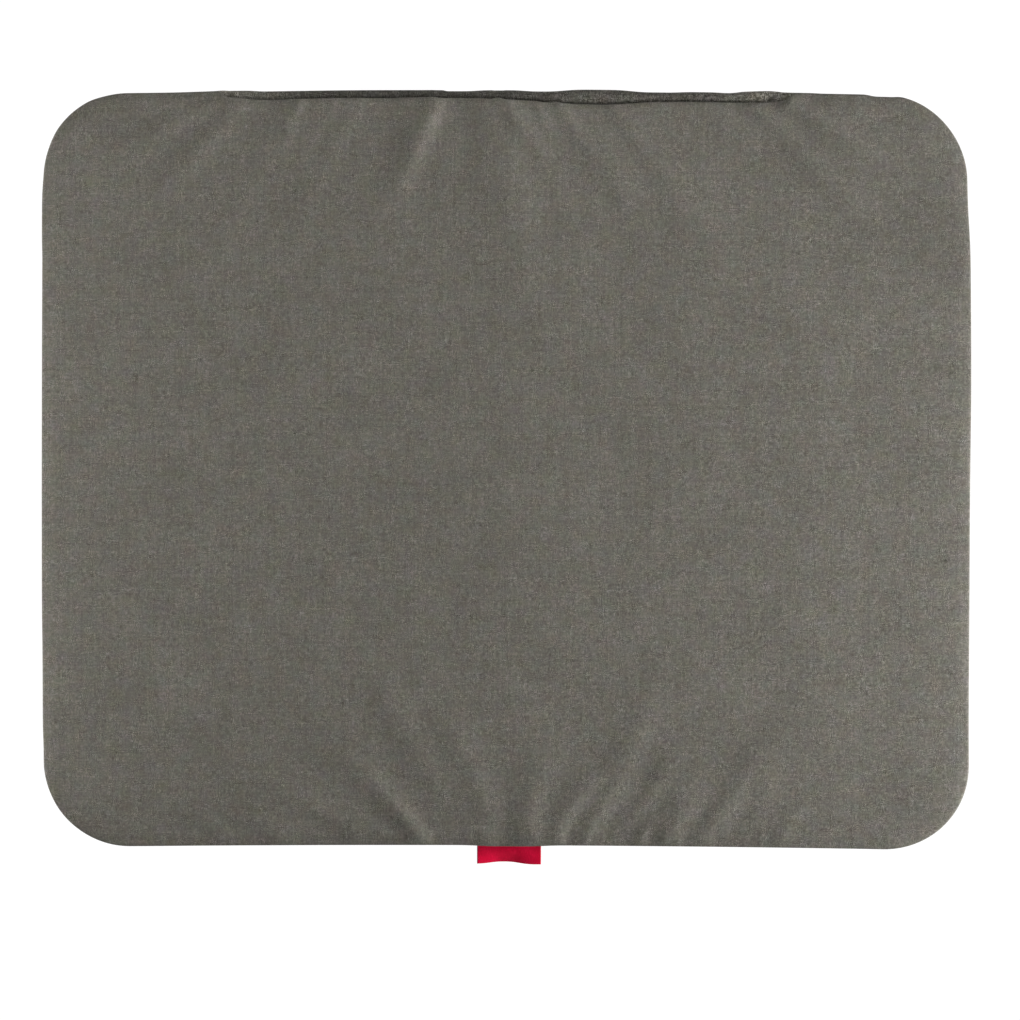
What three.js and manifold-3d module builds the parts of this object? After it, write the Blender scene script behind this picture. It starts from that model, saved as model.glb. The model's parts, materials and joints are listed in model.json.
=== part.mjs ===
// Heat press mat: a sewn cloth cover with a lapped opening along its back edge, round a pad of three layers.
// Millimetres, +Z up, origin at the middle of the underside. +Y is the back, where the opening is.
import * as THREE from 'three';
import { mergeVertices } from 'three/addons/utils/BufferGeometryUtils.js';
import Module from 'manifold-3d';

const wasm = await Module();
wasm.setup();

// Outline of the sewn cover
const matWidth = 508;
const matDepth = 413;
const matHeight = 12.5;
const cornerRadius = 47;
const sideBow = 1.2; // how far the sides swell beyond the corners
const backBow = 1.6; // how far the back edge swells beyond the corners
const frontDraw = 1.4; // how far the gathers draw the front edge in
const edgeRoll = 5.5; // how far in from the outline the cloth starts to turn down
const rollFullness = 4.5; // 2 is a plain ellipse, more is squarer

// Cloth and seam
const clothThickness = 0.6;
const seamGap = 0.15;
const seamAllowance = 6;
const layerGap = 0.15;
const cutGap = 0.3;

// Gathers that fan out from the middle of the front and back edges
const gatherCount = 13;
const gatherPitch = 22;
const gatherLength = 44;
const gatherHeight = 0.7;
const fanLean = 0.8; // sideways run of the most slanted gather for each mm inwards

// Lapped opening in the back edge
const openingWidth = 310;
const openingSetback = 4.5; // from the back outline to the folded edge of the lip
const lipMargin = 9; // single cloth between the hem and the fold line
const foldGap = 0.2;
const tapeWidth = 16;
const tapeLength = 290;
const tapeSetback = 2.5; // from the folded edge of the lip to the tapes
const tapeMargin = 2;
const loopThickness = 0.8;
const hookThickness = 0.8;
const tapeChamfer = 0.2;

// Folded ribbon in the front seam
const tagWidth = 35;
const tagReach = 10;
const tagOffset = 1.7; // from the middle of the front edge
const tagDroop = 14; // degrees that the ribbon hangs below level
const ribbonThickness = 0.5;
const ribbonGap = 0.1;

// Pad layers under the top cloth
const linerThickness = 2;
const foilThickness = 0.3;
const padClearance = 0.4;
const pressRun = 12; // how far the pad takes to rise again beside the closure

// Levels and insets that follow from the sizes above
const cornerFloor = 4; // least corner radius of an inner ring
const yBack = matDepth / 2 - backBow;
const yFront = -matDepth / 2;
const halfWidth = matWidth / 2 - sideBow;
const straightX = halfWidth - cornerRadius;
const halfOpening = openingWidth / 2;
const seamTop = matHeight / 2 + seamGap / 2;
const seamBottom = matHeight / 2 - seamGap / 2;
const hemWidth = tapeSetback + tapeWidth + tapeMargin;
const lipDepth = openingSetback + hemWidth + lipMargin;
const tapeInset = openingSetback + tapeSetback;
const flapDepth = tapeInset + tapeWidth + tapeMargin;
const hemBottom = matHeight - 2 * clothThickness - foldGap;
const loopTop = hemBottom - layerGap;
const hookTop = loopTop - loopThickness - layerGap;
const flapTop = hookTop - hookThickness - layerGap;
const linerTop = matHeight - clothThickness - layerGap;
const pressDepth = linerTop - (flapTop - clothThickness - layerGap);
const foilTop = linerTop - linerThickness - layerGap;
const foamTop = foilTop - foilThickness - layerGap;
const foamBottom = clothThickness + layerGap;
const padInset = Math.max(seamAllowance, edgeRoll) + padClearance;

// Closed skin over a row of loops, with a flat cap at each end. Caps are drawn in the two given axes.
// Each four-sided patch is split along its shorter diagonal, so that layers one above the other split alike.
function loft(loops, capAxes) {
  const count = loops[0].length;
  const points = loops.flat().map((p) => new THREE.Vector3(...p));
  const span = (i, j) => points[i].distanceTo(points[j]);
  const index = [];
  for (let k = 0; k < loops.length - 1; k++) {
    for (let i = 0; i < count; i++) {
      const a = k * count + i;
      const b = k * count + ((i + 1) % count);
      const c = b + count;
      const d = a + count;
      if (span(a, c) < span(b, d)) index.push(a, b, c, a, c, d);
      else index.push(a, b, d, b, c, d);
    }
  }
  const last = (loops.length - 1) * count;
  capTriangles(loops[0], capAxes).forEach(([a, b, c]) => index.push(a, c, b));
  capTriangles(loops.at(-1), capAxes).forEach(([a, b, c]) => index.push(last + a, last + b, last + c));
  const geometry = new THREE.BufferGeometry();
  geometry.setAttribute('position', new THREE.Float32BufferAttribute(loops.flat(2), 3));
  geometry.setIndex(signedVolume(loops.flat(), index) < 0 ? flipped(index) : index);
  return geometry;
}

// Cap of one loop, with its triangles turning the way the loop does.
function capTriangles(loop, [u, v]) {
  const points = loop.map((p) => new THREE.Vector2(p[u], p[v]));
  return THREE.ShapeUtils.triangulateShape(points, []).map(([a, b, c]) => {
    const ab = points[b].clone().sub(points[a]);
    const ac = points[c].clone().sub(points[a]);
    const sameTurn = ab.cross(ac) > 0 === THREE.ShapeUtils.area(points) > 0;
    return sameTurn ? [a, b, c] : [a, c, b];
  });
}

function signedVolume(points, index) {
  let volume = 0;
  for (let i = 0; i < index.length; i += 3) {
    const [a, b, c] = index.slice(i, i + 3).map((n) => new THREE.Vector3(...points[n]));
    volume += a.dot(b.cross(c)) / 6;
  }
  return volume;
}

function flipped(index) {
  return index.map((_, i) => index[i % 3 === 1 ? i + 1 : i % 3 === 2 ? i - 1 : i]);
}

// Solid of a closed geometry, for cutting.
function solidOf(geometry) {
  const plain = geometry.clone();
  plain.deleteAttribute('normal');
  plain.deleteAttribute('uv');
  const merged = mergeVertices(plain, 1e-4);
  return new wasm.Manifold(new wasm.Mesh({
    numProp: 3,
    vertProperties: new Float32Array(merged.attributes.position.array),
    triVerts: new Uint32Array(merged.index.array),
  }));
}

function cut(geometry, cutter) {
  const mesh = solidOf(geometry).subtract(solidOf(cutter)).getMesh();
  const result = new THREE.BufferGeometry();
  result.setAttribute('position', new THREE.Float32BufferAttribute(mesh.vertProperties, mesh.numProp));
  result.setIndex(Array.from(mesh.triVerts));
  return result;
}

const smooth = (t) => THREE.MathUtils.smoothstep(t, 0, 1);
const evenly = (count, from, to) => Array.from({ length: count }, (_, i) => from + ((to - from) * i) / (count - 1));

// How much of an edge's swelling is left at an inset: all at the outline, none at the lip's fold line.
const bowShare = (inset) => Math.max(0, 1 - inset / lipDepth);

// Y of a point behind the middle of the mat, at a given X and inset from the back outline.
const backY = (x, inset) => yBack - inset + backBow * (1 - (x / straightX) ** 2) * bowShare(inset);

// Sideways place of a gather line, which leans away from the middle as it runs in from the edge.
const fanX = (share, inset, straight, lean) => share * straight + lean * inset * Math.sin(Math.PI * share);

// One loop of the outline at an inset. The shares say where the points lie along each straight side.
function outline(inset, { frontShares, sideShares, backShares, cornerSteps, lean = 0 }) {
  const radius = Math.max(cornerRadius - inset, cornerFloor);
  const cornerX = halfWidth - inset - radius;
  const cornerBack = yBack - inset - radius;
  const cornerFront = yFront + inset + radius;
  const middleY = (cornerBack + cornerFront) / 2;
  const straightY = (cornerBack - cornerFront) / 2;
  const corner = (x, y, from) => evenly(cornerSteps + 1, from, from + Math.PI / 2).slice(1, -1).map(
    (angle) => [x + radius * Math.cos(angle), y + radius * Math.sin(angle)]);
  const swell = (bow, share) => bow * (1 - share ** 2) * bowShare(inset);
  const front = frontShares.map((s) => [fanX(s, inset, cornerX, lean), yFront + inset - swell(-frontDraw, s)]);
  const right = sideShares.map((s) => [halfWidth - inset + swell(sideBow, s), middleY + s * straightY]);
  const back = backShares.map((s) => [-fanX(s, inset, cornerX, lean), yBack - inset + swell(backBow, s)]);
  const left = right.map(([x, y]) => [-x, 2 * middleY - y]);
  return [
    ...front, ...corner(cornerX, cornerFront, -Math.PI / 2),
    ...right, ...corner(cornerX, cornerBack, 0),
    ...back, ...corner(-cornerX, cornerBack, Math.PI / 2),
    ...left, ...corner(-cornerX, cornerFront, Math.PI),
  ];
}

const level = (loop, z) => loop.map(([x, y]) => [x, y, z]);

// Quarter of the rolled edge, as inset and rise above or below the seam. 0 is the seam, 1 is the flat face.
function rollPoint(turn, wall) {
  const angle = (turn * Math.PI) / 2;
  const power = 2 / rollFullness;
  const inset = edgeRoll - (edgeRoll - wall) * Math.cos(angle) ** power;
  return { inset: turn === 1 ? edgeRoll : inset, rise: (matHeight / 2 - wall) * Math.sin(angle) ** power };
}

// Shares along the front or back edge: a point on every gather's ridge and in every valley, and the corners.
const gatherShares = evenly(2 * gatherCount + 1, -gatherCount / 2, gatherCount / 2)
  .map((n) => (n * gatherPitch) / straightX);
const gatheredShares = [-1, ...gatherShares, 1];

// Rise of the cloth on a gather. Ridges stand at odd places in the row, and no two neighbours are alike.
function gatherRise(place, inset) {
  const isRidge = place % 2 === 1;
  const variety = 0.7 + 0.3 * Math.cos(place * 2.3);
  const fade = inset < gatherLength ? 0.5 + 0.5 * Math.cos((Math.PI * inset) / gatherLength) : 0;
  return isRidge ? gatherHeight * variety * fade : 0;
}

// Top cloth, turned down to the seam at half height and cut away where the lip lies.
function topPanel() {
  const sides = {
    frontShares: gatheredShares,
    backShares: gatheredShares,
    sideShares: evenly(5, -1, 1),
    cornerSteps: 6,
    lean: fanLean,
  };
  const cornerPoints = sides.cornerSteps - 1;
  const frontEnd = gatheredShares.length;
  const backStart = frontEnd + sides.sideShares.length + 2 * cornerPoints;
  const ring = (inset, z, liftShare = 0) => outline(inset, sides).map(([x, y], i) => {
    const place = i < frontEnd ? i - 1 : i - backStart - 1;
    const onEdge = i < frontEnd || (i >= backStart && i < backStart + frontEnd);
    const lift = onEdge && place < gatherShares.length ? liftShare * gatherRise(place, inset) : 0;
    return [x, y, z + lift];
  });
  const outer = [1, 0.6, 0.3].map((share) => ring(gatherLength * share, matHeight, 1));
  const roll = [1, 0.66, 0.33].map((turn) => {
    const { inset, rise } = rollPoint(turn, 0);
    return ring(inset, matHeight / 2 + rise, turn);
  });
  const flangeTop = seamTop + clothThickness;
  const innerRoll = [0.5, 1].map((turn) => {
    const { inset, rise } = rollPoint(turn, clothThickness);
    return ring(inset, matHeight / 2 + rise);
  });
  const rings = [
    ...outer, ...roll, ring(0, seamTop), ring(seamAllowance, seamTop),
    ring(seamAllowance, flangeTop), ring(clothThickness, flangeTop), ...innerRoll,
  ];
  const notchDepth = lipDepth + backBow;
  const notch = new THREE.BoxGeometry(openingWidth, 2 * notchDepth, matHeight);
  notch.translate(0, yBack - lipDepth + notchDepth, matHeight);
  return cut(loft(rings, [0, 1]), notch);
}

// Underside cloth, turned up to the same seam.
function bottomPanel() {
  const sides = {
    frontShares: evenly(9, -1, 1),
    backShares: evenly(9, -1, 1),
    sideShares: evenly(7, -1, 1),
    cornerSteps: 7,
  };
  const ring = (inset, z) => level(outline(inset, sides), z);
  const turned = (turn, wall) => {
    const { inset, rise } = rollPoint(turn, wall);
    return ring(inset, matHeight / 2 - rise);
  };
  const flangeLow = seamBottom - clothThickness;
  const outer = [1, 0.66, 0.33].map((turn) => turned(turn, 0));
  const flange = [ring(0, seamBottom), ring(seamAllowance, seamBottom), ring(seamAllowance, flangeLow)];
  const inner = [ring(clothThickness, flangeLow), turned(0.5, clothThickness), turned(1, clothThickness)];
  return loft([...outer, ...flange, ...inner], [0, 1]);
}

// Strip along the back edge: a section of inset and height points, repeated at each X.
function backStrip(section, stations) {
  return loft(stations.map((x) => section.map(([inset, z]) => [x, backY(x, inset), z])), [1, 2]);
}

// Lip over the opening: the back margin of the top cloth with its hem turned under, gathers running through it.
function openingLip() {
  const reach = halfOpening - cutGap;
  const foldRadius = (matHeight - hemBottom) / 2;
  const foldCentre = [openingSetback + foldRadius, matHeight - foldRadius];
  const root = lipDepth - cutGap / 2;
  const slit = foldCentre[0] + foldGap;
  const fold = evenly(5, Math.PI / 2, (3 * Math.PI) / 2).map(
    (angle) => [foldCentre[0] + foldRadius * Math.cos(angle), foldCentre[1] + foldRadius * Math.sin(angle)]);
  const topRun = evenly(4, root, foldCentre[0]).slice(0, -1).map((inset) => [inset, matHeight]);
  const hemEnd = openingSetback + hemWidth;
  const section = [
    ...topRun, ...fold,
    [hemEnd, hemBottom], [hemEnd, hemBottom + clothThickness], [slit, hemBottom + clothThickness],
    [slit, matHeight - clothThickness], [root, matHeight - clothThickness],
  ];
  const stations = [{ x: () => -reach, place: 0 }];
  gatherShares.forEach((share, place) => {
    const x = (inset) => fanX(share, inset, straightX, fanLean);
    if (Math.abs(x(root)) < reach - gatherPitch / 4) stations.push({ x, place });
  });
  stations.push({ x: () => reach, place: 0 });
  const loops = stations.map(({ x, place }) => section.map(
    ([inset, z]) => [x(inset), backY(x(inset), inset), z + gatherRise(place, inset)]));
  return loft(loops, [1, 2]);
}

// Facing below the lip: sewn to the seam, rolled over the back edge, then tucked in flat under the tapes.
function openingFacing() {
  const crest = hemBottom - layerGap;
  const flangeTop = seamTop + clothThickness;
  const power = 2 / rollFullness;
  const roll = (turn, wall) => {
    const angle = (turn * Math.PI) / 2;
    const inset = openingSetback - (openingSetback - wall) * Math.cos(angle) ** power;
    return [turn === 1 ? openingSetback : inset, seamTop + (crest - wall - seamTop) * Math.sin(angle) ** power];
  };
  const dropEnd = tapeInset - cutGap;
  const drop = (share, wall) => [
    openingSetback + share * (dropEnd - openingSetback),
    crest - wall + (flapTop - crest) * smooth(share),
  ];
  const section = [
    [seamAllowance, seamTop], [0, seamTop],
    ...[0.25, 0.5, 0.75, 1].map((turn) => roll(turn, 0)),
    drop(0.35, 0), drop(0.7, 0), drop(1, 0), [flapDepth, flapTop],
    [flapDepth, flapTop - clothThickness], drop(1, clothThickness), drop(0.7, clothThickness),
    drop(0.35, clothThickness), ...[1, 0.75, 0.5].map((turn) => roll(turn, clothThickness)),
    [clothThickness, flangeTop], [seamAllowance, flangeTop],
  ];
  return backStrip(section, evenly(21, -halfOpening + cutGap, halfOpening - cutGap));
}

// Flat tape with its long edges eased.
function tape(top, thickness) {
  const low = top - thickness;
  const near = tapeInset;
  const far = tapeInset + tapeWidth;
  const section = [
    [near, low + tapeChamfer], [near, top - tapeChamfer], [near + tapeChamfer, top], [far - tapeChamfer, top],
    [far, top - tapeChamfer], [far, low + tapeChamfer], [far - tapeChamfer, low], [near + tapeChamfer, low],
  ];
  return backStrip(section, evenly(13, -tapeLength / 2, tapeLength / 2));
}

// Layer of the pad between two levels, pressed down under the closure where asked.
function padLayer(top, bottom, pressedBelow) {
  const pressEnd = halfOpening + layerGap;
  const closureShares = evenly(11, -pressEnd, pressEnd).map((x) => x / straightX);
  const riseShare = (pressEnd + pressRun) / straightX;
  const sides = {
    frontShares: evenly(5, -1, 1),
    sideShares: evenly(5, -1, 1),
    backShares: [-1, -riseShare, ...closureShares, riseShare, 1],
    cornerSteps: 6,
  };
  const backStart = sides.frontShares.length + sides.sideShares.length + 2 * (sides.cornerSteps - 1);
  const pressStart = backStart + 2;
  const ring = (inset, z, press) => outline(inset, sides).map(([x, y], i) => {
    const isPressed = i >= pressStart && i < pressStart + closureShares.length;
    return [x, y, isPressed ? z - press : z];
  });
  const flatInset = flapDepth + padClearance + pressRun;
  const midInset = flapDepth + padClearance + pressRun / 2;
  const fullInset = flapDepth + padClearance;
  const pressedRings = (z) => [
    ring(flatInset, z, 0), ring(midInset, z, pressDepth / 2), ring(fullInset, z, pressDepth),
    ring(padInset, z, pressDepth),
  ];
  const under = pressedBelow ? pressedRings(bottom).reverse() : [ring(padInset, bottom, 0)];
  return loft([...pressedRings(top), ...under], [0, 1]);
}

// Ribbon folded double, its folded end out and its root rounded about the line where the seam holds it.
function ribbonTag() {
  const half = ribbonThickness + ribbonGap / 2;
  const slitEnd = tagReach - half - ribbonGap;
  const profile = new THREE.Shape();
  profile.moveTo(-half, ribbonGap / 2);
  profile.absarc(0, 0, half, Math.PI - 0.1, Math.PI / 2, true);
  profile.lineTo(tagReach - half, half);
  profile.absarc(tagReach - half, 0, half, Math.PI / 2, -Math.PI / 2, true);
  profile.lineTo(0, -half);
  profile.absarc(0, 0, half, -Math.PI / 2, -Math.PI + 0.1, true);
  profile.lineTo(slitEnd, -ribbonGap / 2);
  profile.lineTo(slitEnd, ribbonGap / 2);
  const geometry = new THREE.ExtrudeGeometry(profile, { depth: tagWidth, bevelEnabled: false, curveSegments: 6 });
  geometry.rotateX(Math.PI / 2);
  geometry.rotateZ(-Math.PI / 2);
  geometry.rotateX(THREE.MathUtils.degToRad(tagDroop));
  geometry.translate(tagOffset + tagWidth / 2, 0, 0);
  return geometry;
}

const cloth = new THREE.MeshStandardMaterial({ color: 0x69665e, roughness: 0.75, metalness: 0.15 });
const facingCloth = new THREE.MeshStandardMaterial({ color: 0x494742, roughness: 0.8, metalness: 0.1 });
const softTape = new THREE.MeshStandardMaterial({ color: 0x35342f, roughness: 0.95, metalness: 0 });
const hookPlastic = new THREE.MeshStandardMaterial({ color: 0x2c2b28, roughness: 0.6, metalness: 0 });
const satin = new THREE.MeshStandardMaterial({ color: 0xa3122f, roughness: 0.45, metalness: 0 });
const felt = new THREE.MeshStandardMaterial({ color: 0xd8d2c4, roughness: 1, metalness: 0 });
const foil = new THREE.MeshStandardMaterial({ color: 0xc4c7ca, roughness: 0.3, metalness: 0.9 });
const sponge = new THREE.MeshStandardMaterial({ color: 0x8a8984, roughness: 0.9, metalness: 0 });

const mat = new THREE.Group();

function add(name, geometry, material) {
  const mesh = new THREE.Mesh(geometry, material);
  mesh.name = name;
  mat.add(mesh);
  return mesh;
}

add('bottom_panel', bottomPanel(), cloth);
add('top_panel', topPanel(), cloth);
add('opening_lip', openingLip(), cloth);
add('opening_facing', openingFacing(), facingCloth);
add('loop_tape', tape(loopTop, loopThickness), softTape);
add('hook_tape', tape(hookTop, hookThickness), hookPlastic);
add('wicking_liner', padLayer(linerTop, linerTop - linerThickness, true), felt);
add('foil_membrane', padLayer(foilTop, foilTop - foilThickness, true), foil);
add('foam_core', padLayer(foamTop, foamBottom, false), sponge);
const tagHalf = ribbonThickness + ribbonGap / 2;
add('ribbon_tag', ribbonTag(), satin).position.set(0, yFront + frontDraw - cutGap - tagHalf, matHeight / 2);

export default mat;
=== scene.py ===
import json
import math

import bpy
import numpy as np
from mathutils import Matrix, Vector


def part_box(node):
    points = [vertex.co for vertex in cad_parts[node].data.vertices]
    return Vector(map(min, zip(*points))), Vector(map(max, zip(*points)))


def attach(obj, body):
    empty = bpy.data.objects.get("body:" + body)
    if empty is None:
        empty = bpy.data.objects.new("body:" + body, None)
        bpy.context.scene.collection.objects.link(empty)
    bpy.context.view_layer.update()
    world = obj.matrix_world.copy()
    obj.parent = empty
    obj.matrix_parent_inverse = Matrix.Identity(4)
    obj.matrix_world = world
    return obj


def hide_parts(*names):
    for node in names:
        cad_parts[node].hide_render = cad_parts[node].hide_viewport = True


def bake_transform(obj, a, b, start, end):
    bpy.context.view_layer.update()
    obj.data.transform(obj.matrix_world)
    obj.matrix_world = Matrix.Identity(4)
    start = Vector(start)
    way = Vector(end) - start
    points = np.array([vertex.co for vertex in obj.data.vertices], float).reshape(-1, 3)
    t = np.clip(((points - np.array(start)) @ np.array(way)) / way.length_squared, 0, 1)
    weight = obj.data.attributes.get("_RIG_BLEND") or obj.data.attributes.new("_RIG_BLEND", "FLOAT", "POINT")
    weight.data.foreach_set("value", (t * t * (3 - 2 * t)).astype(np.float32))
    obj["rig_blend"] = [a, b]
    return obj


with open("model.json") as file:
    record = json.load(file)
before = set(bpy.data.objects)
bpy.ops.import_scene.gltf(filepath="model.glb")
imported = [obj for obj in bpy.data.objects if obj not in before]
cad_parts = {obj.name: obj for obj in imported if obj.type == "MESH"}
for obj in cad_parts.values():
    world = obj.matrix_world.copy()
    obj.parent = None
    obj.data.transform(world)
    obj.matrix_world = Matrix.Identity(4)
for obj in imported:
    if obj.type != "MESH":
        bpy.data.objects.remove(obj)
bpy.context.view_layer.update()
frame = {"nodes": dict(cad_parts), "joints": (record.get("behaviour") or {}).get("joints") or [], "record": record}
mm = 0.001
joints = {joint["name"]: joint for joint in frame["joints"]}
mounts = {mount["name"]: mount for mount in frame["record"]["mounts"]}
faceLevel = mounts["press_surface"]["pos_m"][2]
seamLevel = faceLevel / 2
foldLine = joints["lip_lift"]["pos_m"]
tagRoot = joints["tag_flip"]["pos_m"]
print("frame loaded:", len(frame["nodes"]), "nodes, face at", round(faceLevel, 4))

# camera: straight down, as the photograph is taken
photo = {
    "frameWidth": 558 * mm,  # across the picture, at the level of the seam
    "middle": (2.2 * mm, -22.3 * mm),  # point of the mat in the middle of the picture
    "lens": 80,
    "sensor": 36,
    "turn": math.radians(0.23),  # the mat lies a little askew in the picture
}


def addObject(name, data):
    made = bpy.data.objects.new(name, data)
    bpy.context.scene.collection.objects.link(made)
    return made


lensData = bpy.data.cameras.new("photoCamera")
lensData.lens = photo["lens"]
lensData.sensor_width = photo["sensor"]
camera = addObject("photoCamera", lensData)
cameraHeight = photo["frameWidth"] * photo["lens"] / photo["sensor"]
camera.location = (*photo["middle"], seamLevel + cameraHeight)
camera.rotation_euler = (0, 0, photo["turn"])
bpy.context.scene.camera = camera
bpy.context.scene.view_settings.view_transform = "Standard"


# shader maths as expressions: a Wire is a socket, and a Finish is the material it is in
class Wire:
    def __init__(self, finish, socket):
        self.finish = finish
        self.socket = socket

    def math(self, operation, *values):
        return self.finish.node("ShaderNodeMath", {"operation": operation}, dict(enumerate(values)))

    def __add__(self, other):
        return self.math("ADD", self, other)

    __radd__ = __add__

    def __sub__(self, other):
        return self.math("SUBTRACT", self, other)

    def __rsub__(self, other):
        return self.math("SUBTRACT", other, self)

    def __mul__(self, other):
        return self.math("MULTIPLY", self, other)

    def __truediv__(self, other):
        return self.math("DIVIDE", self, other)

    def floor(self):
        return self.math("FLOOR", self)

    def fraction(self):
        return self.math("FRACT", self)

    def size(self):
        return self.math("ABSOLUTE", self)


class Finish:
    def __init__(self, name, world=None):
        holder = world or bpy.data.materials.new(name)
        holder.use_nodes = True
        self.holder = holder
        self.nodes = holder.node_tree.nodes
        self.links = holder.node_tree.links

    def node(self, kind, settings=None, inputs=None, output=0):
        made = self.nodes.new(kind)
        for key, value in (settings or {}).items():
            if key == "stops":
                self.setStops(made.color_ramp.elements, value)
            else:
                setattr(made, key, value)
        self.plug(made, inputs or {})
        return Wire(self, made.outputs[output])

    def setStops(self, elements, stops):
        while len(elements) < len(stops):
            elements.new(1)
        for element, (place, colour) in zip(elements, stops):
            element.position = place
            element.color = colour

    def plug(self, node, inputs):
        for key, value in inputs.items():
            if isinstance(value, Wire):
                self.links.new(value.socket, node.inputs[key])
            else:
                node.inputs[key].default_value = value

    def surface(self, colour, roughness, specular=0.5, bump=None, metallic=0.0, sheen=0.0):
        inputs = {"Base Color": colour, "Roughness": roughness, "Specular IOR Level": specular,
                  "Metallic": metallic, "Sheen Weight": sheen}
        if bump:
            height, depth, strength = bump
            relief = {"Height": height, "Distance": depth, "Strength": strength}
            inputs["Normal"] = self.node("ShaderNodeBump", None, relief)
        self.plug(self.nodes["Principled BSDF"], inputs)
        return self.holder

    def place(self):
        # flat coordinates of a piece, in metres
        uv = self.node("ShaderNodeUVMap", {"uv_map": "weave"})
        return [self.node("ShaderNodeSeparateXYZ", None, {0: uv}, axis) for axis in range(2)]

    def join(self, x, y, z=0.0):
        return self.node("ShaderNodeCombineXYZ", None, {0: x, 1: y, 2: z})

    def noise(self, vector, scale=1.0, detail=2.0, rough=0.6):
        inputs = {"Vector": vector, "Scale": scale, "Detail": detail, "Roughness": rough}
        return self.node("ShaderNodeTexNoise", None, inputs)

    def mix(self, share, first, second, how="MIX"):
        settings = {"data_type": "RGBA", "blend_type": how}
        return self.node("ShaderNodeMix", settings, {0: share, 6: first, 7: second}, 2)

    def ramp(self, value, *stops):
        return self.node("ShaderNodeValToRGB", {"stops": stops}, {0: value})

    def span(self, value, low, high, newLow=0.0, newHigh=1.0, smooth=False):
        settings = {"interpolation_type": "SMOOTHSTEP" if smooth else "LINEAR", "clamp": True}
        inputs = {0: value, 1: low, 2: high, 3: newLow, 4: newHigh}
        return self.node("ShaderNodeMapRange", settings, inputs)

    def cells(self, vector, size):
        return self.node("ShaderNodeTexVoronoi", None, {"Vector": vector, "Scale": 1 / size})


def tint(red, green, blue):
    # a colour as read off a screen, turned into Blender's linear values
    def linear(level):
        level /= 255
        return level / 12.92 if level <= 0.04045 else ((level + 0.055) / 1.055) ** 2.4
    return (linear(red), linear(green), linear(blue), 1.0)


# floor, world and lights
studio = {
    "floorDrop": 0.2 * mm,
    "floorSize": 8.0,
    "worldStrength": 0.1,
    "floorShades": [(0.3, (0.86, 0.86, 0.86, 1)), (0.7, (0.9, 0.9, 0.9, 1))],
    "floorGlow": 0.93,  # share of plain white in what the camera sees of the floor
    "glowStrength": 1.08,
}
softboxes = {
    "rightBox": {"at": (1.18, -0.21, 0.27), "wide": 0.5, "tall": 0.16, "power": 32.9},
    "leftBox": {"at": (-0.66, -0.04, 0.18), "wide": 0.5, "tall": 0.16, "power": 2.85},
    "topBox": {"at": (0.02, 0.64, 0.72), "wide": 0.9, "tall": 0.6, "power": 2.95},
}


def seenDirectly(finish):
    rays = [finish.node("ShaderNodeLightPath", None, None, name)
            for name in ("Is Camera Ray", "Is Glossy Ray", "Is Transmission Ray")]
    return rays[0].math("MAXIMUM", rays[0], rays[0].math("MAXIMUM", rays[1], rays[2]))


def makeFloor():
    half = studio["floorSize"] / 2
    level = -studio["floorDrop"]
    corners = [(-half, -half, level), (half, -half, level), (half, half, level), (-half, half, level)]
    mesh = bpy.data.meshes.new("studioFloor")
    mesh.from_pydata(corners, [], [(0, 1, 2, 3)])
    floor = addObject("studioFloor", mesh)
    finish = Finish("floorPaper")
    grain = finish.noise(finish.node("ShaderNodeTexCoord", None, None, "Object"), 30.0, 3.0, 0.5)
    finish.surface(finish.ramp(grain, *studio["floorShades"]), 0.9, 0.1)
    white = {"Color": (1, 1, 1, 1), "Strength": studio["glowStrength"]}
    glow = finish.node("ShaderNodeEmission", None, white)
    paper = Wire(finish, finish.nodes["Principled BSDF"].outputs[0])
    share = seenDirectly(finish) * studio["floorGlow"]
    shown = finish.node("ShaderNodeMixShader", None, {0: share, 1: paper, 2: glow})
    finish.plug(finish.nodes["Material Output"], {"Surface": shown})
    mesh.materials.append(finish.holder)


def makeWorld():
    world = bpy.data.worlds.new("studioWorld")
    bpy.context.scene.world = world
    finish = Finish("studioWorld", world)
    lit, white = (finish.node("ShaderNodeBackground", None, {"Color": (1, 1, 1, 1), "Strength": strength})
                  for strength in (studio["worldStrength"], 1.0))
    shown = finish.node("ShaderNodeMixShader", None, {0: seenDirectly(finish), 1: lit, 2: white})
    finish.plug(finish.nodes["World Output"], {"Surface": shown})


def makeSoftbox(name, at, wide, tall, power):
    data = bpy.data.lights.new(name, "AREA")
    data.shape = "RECTANGLE"
    data.size = wide
    data.size_y = tall
    data.energy = power
    lamp = addObject(name, data)
    lamp.location = at
    lamp.visible_camera = False
    lamp.rotation_euler = (-lamp.location).to_track_quat("-Z", "Y").to_euler()


makeFloor()
makeWorld()
for boxName, box in softboxes.items():
    makeSoftbox(boxName, **box)
print("studio set")

# the mat's outline and the cloth that follows it
cover = {
    "cornerRadius": 47 * mm,
    "edgeRoll": 6.0 * mm,  # the face starts to turn down this far in from the outline
    "rollFullness": 12.0,  # 2 is an ellipse, more is squarer
    "cloth": 0.55 * mm,
    "sideSwell": 1.2 * mm,  # the sides bow out by this
    "sideShares": (0.35, 0.85),  # times these, on the left and on the right
    "backSwell": 1.6 * mm,  # and the back by this
    "frontDraw": 1.4 * mm,  # the front is drawn in by this
    "swellReach": 60 * mm,
    "backPull": (0.0, -0.3 * mm),  # outward shift of the corners, on the left and on the right
    "frontPull": (-0.5 * mm, 0.35 * mm),
    "skew": 0.0035,  # the back lies a little further left than the front
    "crownReach": 34 * mm,  # the face falls off gently towards its edges
    "crownDrop": 0.6 * mm,
    "shoulderReach": 7.5 * mm,
    "shoulderDrop": 0.5 * mm,
    "seamWobble": 0.3 * mm,
    "allowance": 6 * mm,
    "seamTurn": 0.6 * mm,  # the cloth turns in to the seam this far above or below it
}
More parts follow.
